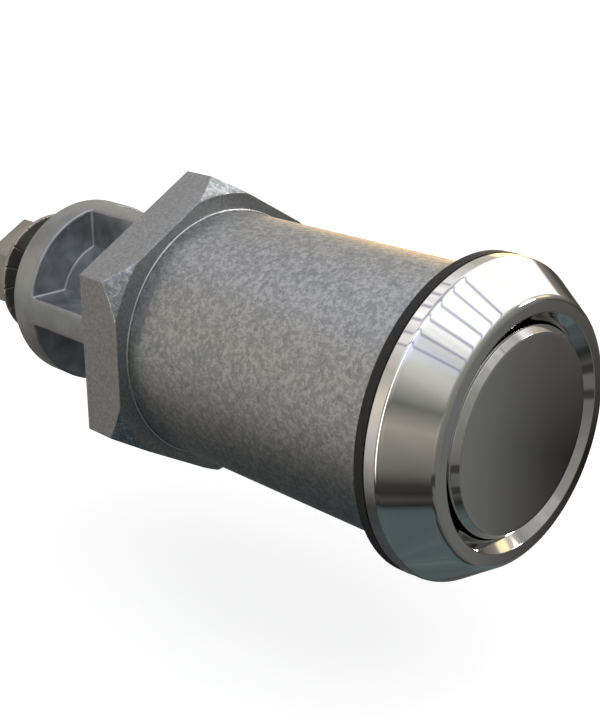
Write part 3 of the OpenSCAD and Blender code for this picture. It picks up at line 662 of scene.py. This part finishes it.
def paint_walls(tree):
    """Paint of the studio's shell: four walls by turn and height, and what hangs on them."""
    place = add_node(tree, "ShaderNodeTexCoord").outputs["Object"]
    way = add_node(tree, "ShaderNodeVectorMath", {"operation": "NORMALIZE"}, {0: place}).outputs[0]
    along = add_node(tree, "ShaderNodeSeparateXYZ", links={0: way}).outputs
    # height above the horizon, and turn to the right from straight ahead of the latch
    rise = add_node(tree, "ShaderNodeMath", {"operation": "ARCSINE"}, {0: along["Z"]}).outputs[0]
    ahead = add_node(tree, "ShaderNodeMath", {"operation": "MULTIPLY", 1: -1.0}, {0: along["Y"]})
    turn = add_node(tree, "ShaderNodeMath", {"operation": "ARCTAN2"},
                    {0: along["X"], 1: ahead.outputs[0]}).outputs[0]
    swing = add_node(tree, "ShaderNodeMath", {"operation": "ABSOLUTE"}, {0: turn}).outputs[0]
    up = add_node(tree, "ShaderNodeMapRange",
                  {"From Min": radians(-90.0), "From Max": radians(90.0)},
                  {"Value": rise}).outputs[0]
    walls = {}
    for name, stops in WALLS.items():
        stops = [((height + 90) / 180, srgb(tone)) for height, tone in stops]
        walls[name] = add_node(tree, "ShaderNodeValToRGB", {"stops": stops},
                               {"Fac": up}).outputs["Color"]
    # the window's sill is lower towards the back
    sill = add_node(tree, "ShaderNodeMapRange",
                    {"From Min": radians(72.0), "From Max": radians(92.0),
                     "To Min": radians(46.0), "To Max": radians(9.0)}, {"Value": turn})
    over = add_node(tree, "ShaderNodeMath", {"operation": "SUBTRACT"},
                    {0: rise, 1: sill.outputs[0]}).outputs[0]
    slat = add_node(tree, "ShaderNodeMath", {"operation": "ADD", 1: SLAT_SHIFT}, {0: rise})
    slat = add_node(tree, "ShaderNodeMath", {"operation": "PINGPONG", 1: SLAT_HALF},
                    {0: slat.outputs[0]}).outputs[0]
    # sideways per unit of height, the height kept from 0
    height = add_node(tree, "ShaderNodeMath", {"operation": "MAXIMUM", 1: 0.05}, {0: along["Z"]})
    slope = add_node(tree, "ShaderNodeMath", {"operation": "DIVIDE"},
                     {0: along["X"], 1: height.outputs[0]}).outputs[0]
    bar = add_node(tree, "ShaderNodeMath", {"operation": "PINGPONG", 1: BAR_HALF},
                   {0: slope}).outputs[0]
    # soft edges: what is measured, where there is nothing, where it is full, and how much
    soft_edges = {
        "right": (turn, radians(51.0), radians(60.0), 1.0),
        "left": (turn, radians(-32.0), radians(-50.0), 1.0),
        "behind": (swing, radians(112.0), radians(126.0), 1.0),
        "window_foot": (over, 0.0, radians(5.0), 1.0),
        "window_end": (turn, radians(122.0), radians(114.0), 1.0),
        "window_start": (turn, radians(60.0), radians(75.0), 1.0),
        "strip_start": (turn, radians(-108.0), radians(-104.0), 1.0),
        "strip_end": (turn, radians(-93.0), radians(-97.0), 1.0),
        "strip_foot": (rise, radians(-34.0), radians(-18.0), 1.0),
        "slat": (slat, radians(5.0), radians(1.8), 0.8),
        "slat_start": (turn, radians(-57.0), radians(-52.0), 1.0),
        "slat_end": (turn, radians(-9.0), radians(-14.0), 1.0),
        "slat_top": (rise, radians(-14.0), radians(-19.0), 1.0),
        "slat_foot": (rise, radians(-52.0), radians(-47.0), 1.0),
        "bar": (bar, 0.034, 0.008, 1.0),
        "bar_start": (slope, -0.72, -0.66, 1.0),
        "bar_end": (slope, 0.52, 0.46, 1.0),
        "bar_foot": (along["Z"], 0.25, 0.4, 0.75),
        "bar_front": (along["Y"], -0.70, -0.62, 1.0),
        "ceiling": (rise, radians(58.0), radians(68.0), 1.0),
    }
    for name, (lamp_turn, lift, outer, inner) in ROUND_LAMPS.items():
        flat, high = radians(lamp_turn), radians(lift)
        towards = sin(flat) * cos(high), -cos(flat) * cos(high), sin(high)
        near = add_node(tree, "ShaderNodeVectorMath", {"operation": "DOT_PRODUCT", 1: towards},
                        {0: way})
        soft_edges[name] = near.outputs["Value"], cos(radians(outer)), cos(radians(inner)), 1.0
    share = {}
    for name, (measure, nothing, full, most) in soft_edges.items():
        share[name] = add_node(tree, "ShaderNodeMapRange",
                               {"interpolation_type": "SMOOTHSTEP", "From Min": nothing,
                                "From Max": full, "To Max": most}, {"Value": measure}).outputs[0]
    for name, parts in {
        "window": ("window_foot", "window_end", "window_start"),
        "strip": ("strip_start", "strip_end", "strip_foot"),
        "blinds": ("slat", "slat_start", "slat_end", "slat_top", "slat_foot"),
        "bars": ("bar", "bar_start", "bar_end", "bar_foot", "bar_front"),
    }.items():
        share[name] = share[parts[0]]
        for part in parts[1:]:
            share[name] = add_node(tree, "ShaderNodeMath", {"operation": "MULTIPLY"},
                                   {0: share[name], 1: share[part]}).outputs[0]
    paint = walls["ahead"]
    for name in ("right", "left", "behind"):
        paint = add_node(tree, "ShaderNodeMix", {"data_type": "RGBA"},
                         {0: share[name], 6: paint, 7: walls[name]}).outputs[2]
    for name, tone in HUNG:
        paint = add_node(tree, "ShaderNodeMix", {"data_type": "RGBA", 7: srgb(tone)},
                         {0: share[name], 6: paint}).outputs[2]
    # upright panels make the walls uneven, and the window and the ceiling are even and brighter
    panels = add_node(tree, "ShaderNodeTexNoise",
                      {"noise_dimensions": "1D", "Scale": 4.2, "Detail": 3.0, "Roughness": 0.6},
                      {"W": turn})
    uneven = add_node(tree, "ShaderNodeMapRange",
                      {"From Min": 0.3, "From Max": 0.7, "To Min": 0.84, "To Max": 1.14},
                      {"Value": panels.outputs["Fac"]})
    share["white"] = add_node(tree, "ShaderNodeMath", {"operation": "MAXIMUM"},
                              {0: share["window"], 1: share["ceiling"]}).outputs[0]
    level = add_node(tree, "ShaderNodeMath", {"operation": "MULTIPLY", 1: WALL_LEVEL},
                     {0: uneven.outputs[0]}).outputs[0]
    for name, extra in ADDED:
        level = add_node(tree, "ShaderNodeMath", {"operation": "MULTIPLY_ADD", 1: extra},
                         {0: share[name], 2: level}).outputs[0]
    glow = add_node(tree, "ShaderNodeEmission", links={"Color": paint, "Strength": level})
    add_node(tree, "ShaderNodeOutputMaterial", links={"Surface": glow.outputs[0]})


def seen_directly(tree):
    """1 for rays from the camera, off metal and through glass, which see the background as white,
    and 0 for the others."""
    path = add_node(tree, "ShaderNodeLightPath").outputs
    seen = add_node(tree, "ShaderNodeMath", {"operation": "ADD"},
                    {0: path["Is Camera Ray"], 1: path["Is Glossy Ray"]})
    return add_node(tree, "ShaderNodeMath", {"operation": "ADD", "use_clamp": True},
                    {0: seen.outputs[0], 1: path["Is Transmission Ray"]}).outputs[0]


def add_floor(stage):
    """Floor that is white to the camera and keeps the part's soft shadow."""
    bm = bmesh.new()
    bmesh.ops.create_grid(bm, x_segments=1, y_segments=1, size=stage.floor_half)
    bmesh.ops.translate(bm, verts=bm.verts, vec=(0, 0, CAD_BOX[0].z - stage.floor_drop))
    floor = new_object("studio_floor", bm)
    floor.visible_glossy = False
    # matt painted board
    made = bpy.data.materials.new("studio_floor_paint")
    tree = empty_tree(made)
    paint = add_node(tree, "ShaderNodeBsdfDiffuse", {"Color": tuple(stage.floor_paint)})
    level = add_node(tree, "ShaderNodeMath", {"operation": "MULTIPLY", 1: stage.floor_level},
                     {0: seen_directly(tree)})
    glow = add_node(tree, "ShaderNodeEmission", {"Color": WHITE}, {"Strength": level.outputs[0]})
    both = add_node(tree, "ShaderNodeAddShader", links={0: paint.outputs[0], 1: glow.outputs[0]})
    add_node(tree, "ShaderNodeOutputMaterial", links={"Surface": both.outputs[0]})
    floor.data.materials.append(made)


def add_walls(stage):
    """Shell of pale and dark walls that only reflections see, as polished metal needs them."""
    bm = bmesh.new()
    # its facets don't show, since the paint goes by direction
    bmesh.ops.create_uvsphere(bm, u_segments=48, v_segments=24, radius=stage.walls_r)
    bmesh.ops.reverse_faces(bm, faces=bm.faces)
    for face in bm.faces:
        face.smooth = True
    walls = new_object("studio_walls", bm)
    for rays in ("camera", "diffuse", "shadow", "transmission", "volume_scatter"):
        setattr(walls, "visible_" + rays, False)
    made = bpy.data.materials.new("studio_wall_paint")
    paint_walls(empty_tree(made))
    walls.data.materials.append(made)


def add_lamps(stage):
    """Two soft round lamps."""
    for part in ("key", "fill"):
        name = "lamp_" + part
        lamp = bpy.data.lights.new(name, "AREA")
        lamp.shape = "DISK"
        lamp.size = getattr(stage, part + "_size")
        lamp.energy = getattr(stage, part + "_power")
        lamp.color = getattr(stage, part + "_tint")[:3]
        held = bpy.data.objects.new(name, lamp)
        held.location = getattr(stage, part + "_place")
        aim = Vector(stage.lamp_aim) - held.location
        held.rotation_euler = aim.to_track_quat("-Z", "Y").to_euler()
        held.visible_camera = False
        bpy.context.scene.collection.objects.link(held)


def add_world(stage):
    """World that is white where it is seen and gives a plain level of light."""
    world = bpy.data.worlds.new("studio_world")
    tree = empty_tree(world)
    level = add_node(tree, "ShaderNodeMapRange", {"To Min": stage.world_level, "To Max": 1.0},
                     {"Value": seen_directly(tree)})
    back = add_node(tree, "ShaderNodeBackground", {"Color": WHITE}, {"Strength": level.outputs[0]})
    add_node(tree, "ShaderNodeOutputWorld", links={"Surface": back.outputs[0]})
    bpy.context.scene.world = world


def add_camera(stage):
    """Camera above and to the left of the head, close to it."""
    camera = bpy.data.cameras.new("camera")
    camera.lens = stage.lens
    camera.sensor_width = 36.0
    camera.sensor_fit = "AUTO"
    camera.clip_start = 2.0 * MM
    held = bpy.data.objects.new("camera", camera)
    held.location = stage.camera_place
    held.rotation_euler = stage.camera_turn
    bpy.context.scene.collection.objects.link(held)
    bpy.context.scene.camera = held


class LATCH_OT_stage(bpy.types.Operator):
    """White floor, soft lamps, studio walls for the reflections, and the camera"""
    bl_idname = "latch.stage"
    bl_label = "Stage"

    def execute(self, context):
        for add in (add_floor, add_walls, add_lamps, add_world, add_camera):
            add(context.scene.latch_stage)
        context.scene.view_settings.view_transform = "Standard"
        return {"FINISHED"}


# ---------------------------------------------------------------- panel and main

class LATCH_PT_panel(bpy.types.Panel):
    """Lists the latch's pieces, sizes and colours"""
    bl_idname = "LATCH_PT_panel"
    bl_label = "Latch"
    bl_space_type = "VIEW_3D"
    bl_region_type = "UI"
    bl_category = "Latch"

    def draw(self, context):
        for kind in OPERATORS:
            self.layout.operator(kind.bl_idname)
        for held, kind in GROUPS.items():
            for name in kind.__annotations__:
                self.layout.prop(getattr(context.scene, held), name)


GROUPS = {"latch_sizes": LatchSizes, "latch_colours": LatchColours, "latch_stage": LatchStage}
OPERATORS = (LATCH_OT_head, LATCH_OT_barrel, LATCH_OT_rotor, LATCH_OT_works, LATCH_OT_stage)
CLASSES = (*GROUPS.values(), *OPERATORS, LATCH_PT_panel)


def register():
    for kind in CLASSES:
        bpy.utils.register_class(kind)
    for held, kind in GROUPS.items():
        setattr(bpy.types.Scene, held, PointerProperty(type=kind))


def unregister():
    for held in GROUPS:
        delattr(bpy.types.Scene, held)
    for kind in reversed(CLASSES):
        bpy.utils.unregister_class(kind)


def main():
    register()
    bpy.ops.latch.head()
    bpy.ops.latch.barrel()
    bpy.ops.latch.rotor()
    bpy.ops.latch.works()
    bpy.ops.latch.stage()


if __name__ == "__main__":
    main()
